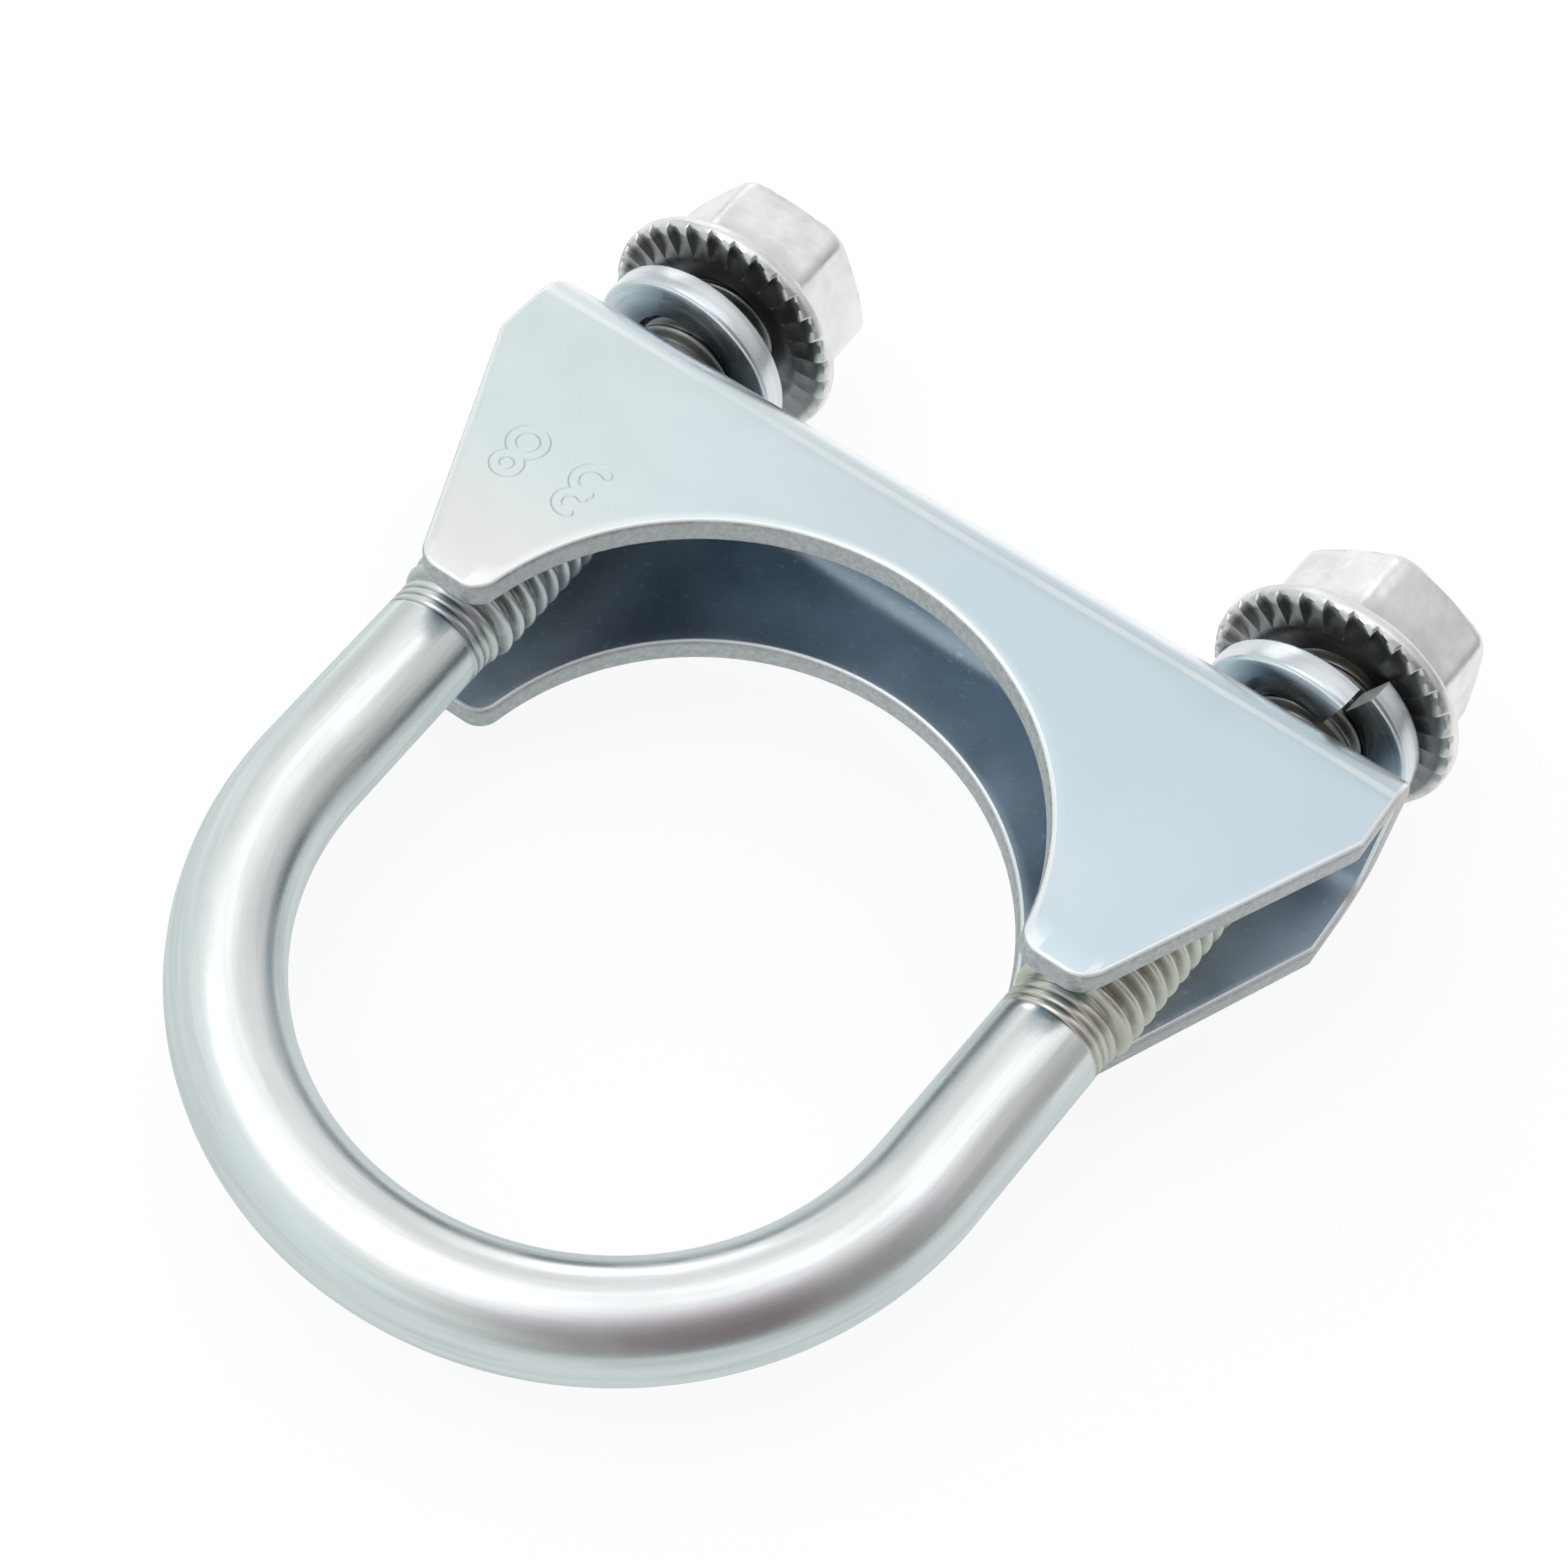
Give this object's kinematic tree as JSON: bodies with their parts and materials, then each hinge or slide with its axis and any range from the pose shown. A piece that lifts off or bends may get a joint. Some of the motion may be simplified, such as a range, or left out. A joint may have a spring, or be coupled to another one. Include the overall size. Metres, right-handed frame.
{
  "type": "exhaust clamp",
  "caption": "U-bolt exhaust clamp: a bent round rod with threaded legs, a pressed saddle with a half-round cut-out, spring washers and serrated flange nuts.",
  "frame": {"origin": "centre of the saddle's half-round cut-out, on the pipe's axis and half-way across the saddle's width", "axes": "+Z along the pipe's axis, pointing up as the clamp lies on its side; +Y from the bolt's bend towards its nuts; +X along the saddle, to the right"},
  "size_m": [0.0662, 0.078, 0.0174],
  "materials": {
    "bolt_zinc": "bright zinc on smooth drawn steel rod, with satin streaks along it",
    "saddle_zinc": "bright bluish-white zinc on sheet steel, with grey cut edges",
    "washer_zinc": "bright zinc on spring steel",
    "nut_zinc": "matt light-grey zinc on forged steel, slightly uneven"
  },
  "bodies": {
    "bolt": {"u_bolt": "bolt_zinc"},
    "saddle": {"saddle": "saddle_zinc"},
    "left_washer": {"left_spring_washer": "washer_zinc"},
    "left_nut": {"left_flange_nut": "nut_zinc"},
    "right_washer": {"right_spring_washer": "washer_zinc"},
    "right_nut": {"right_flange_nut": "nut_zinc"}
  },
  "joints": [
    {"name": "saddle_slide", "type": "slide", "parent": "bolt", "child": "saddle", "axis": [0, 1, 0], "range_m": [-0.0098, 0]},
    {"name": "left_nut_travel", "type": "slide", "parent": "bolt", "child": "left_washer", "axis": [-0.0401, 0.9992, 0], "range_m": [-0.0002, 0.0085]},
    {"name": "left_nut_turn", "type": "hinge", "parent": "left_washer", "child": "left_nut", "pos_m": [-0.02441, 0.03389, 0], "axis": [-0.0401, 0.9992, 0], "range_deg": [-57, 2412]},
    {"name": "right_nut_travel", "type": "slide", "parent": "bolt", "child": "right_washer", "axis": [0.0401, 0.9992, 0], "range_m": [-0.0002, 0.0091]},
    {"name": "right_nut_turn", "type": "hinge", "parent": "right_washer", "child": "right_nut", "pos_m": [0.02438, 0.03319, 0], "axis": [0.0401, 0.9992, 0], "range_deg": [-57, 2592]}
  ],
  "couplings": [
    {"joint": "left_nut_travel", "follows": "left_nut_turn", "m_per_rad": 0.00019894},
    {"joint": "right_nut_travel", "follows": "right_nut_turn", "m_per_rad": 0.00019894}
  ]
}
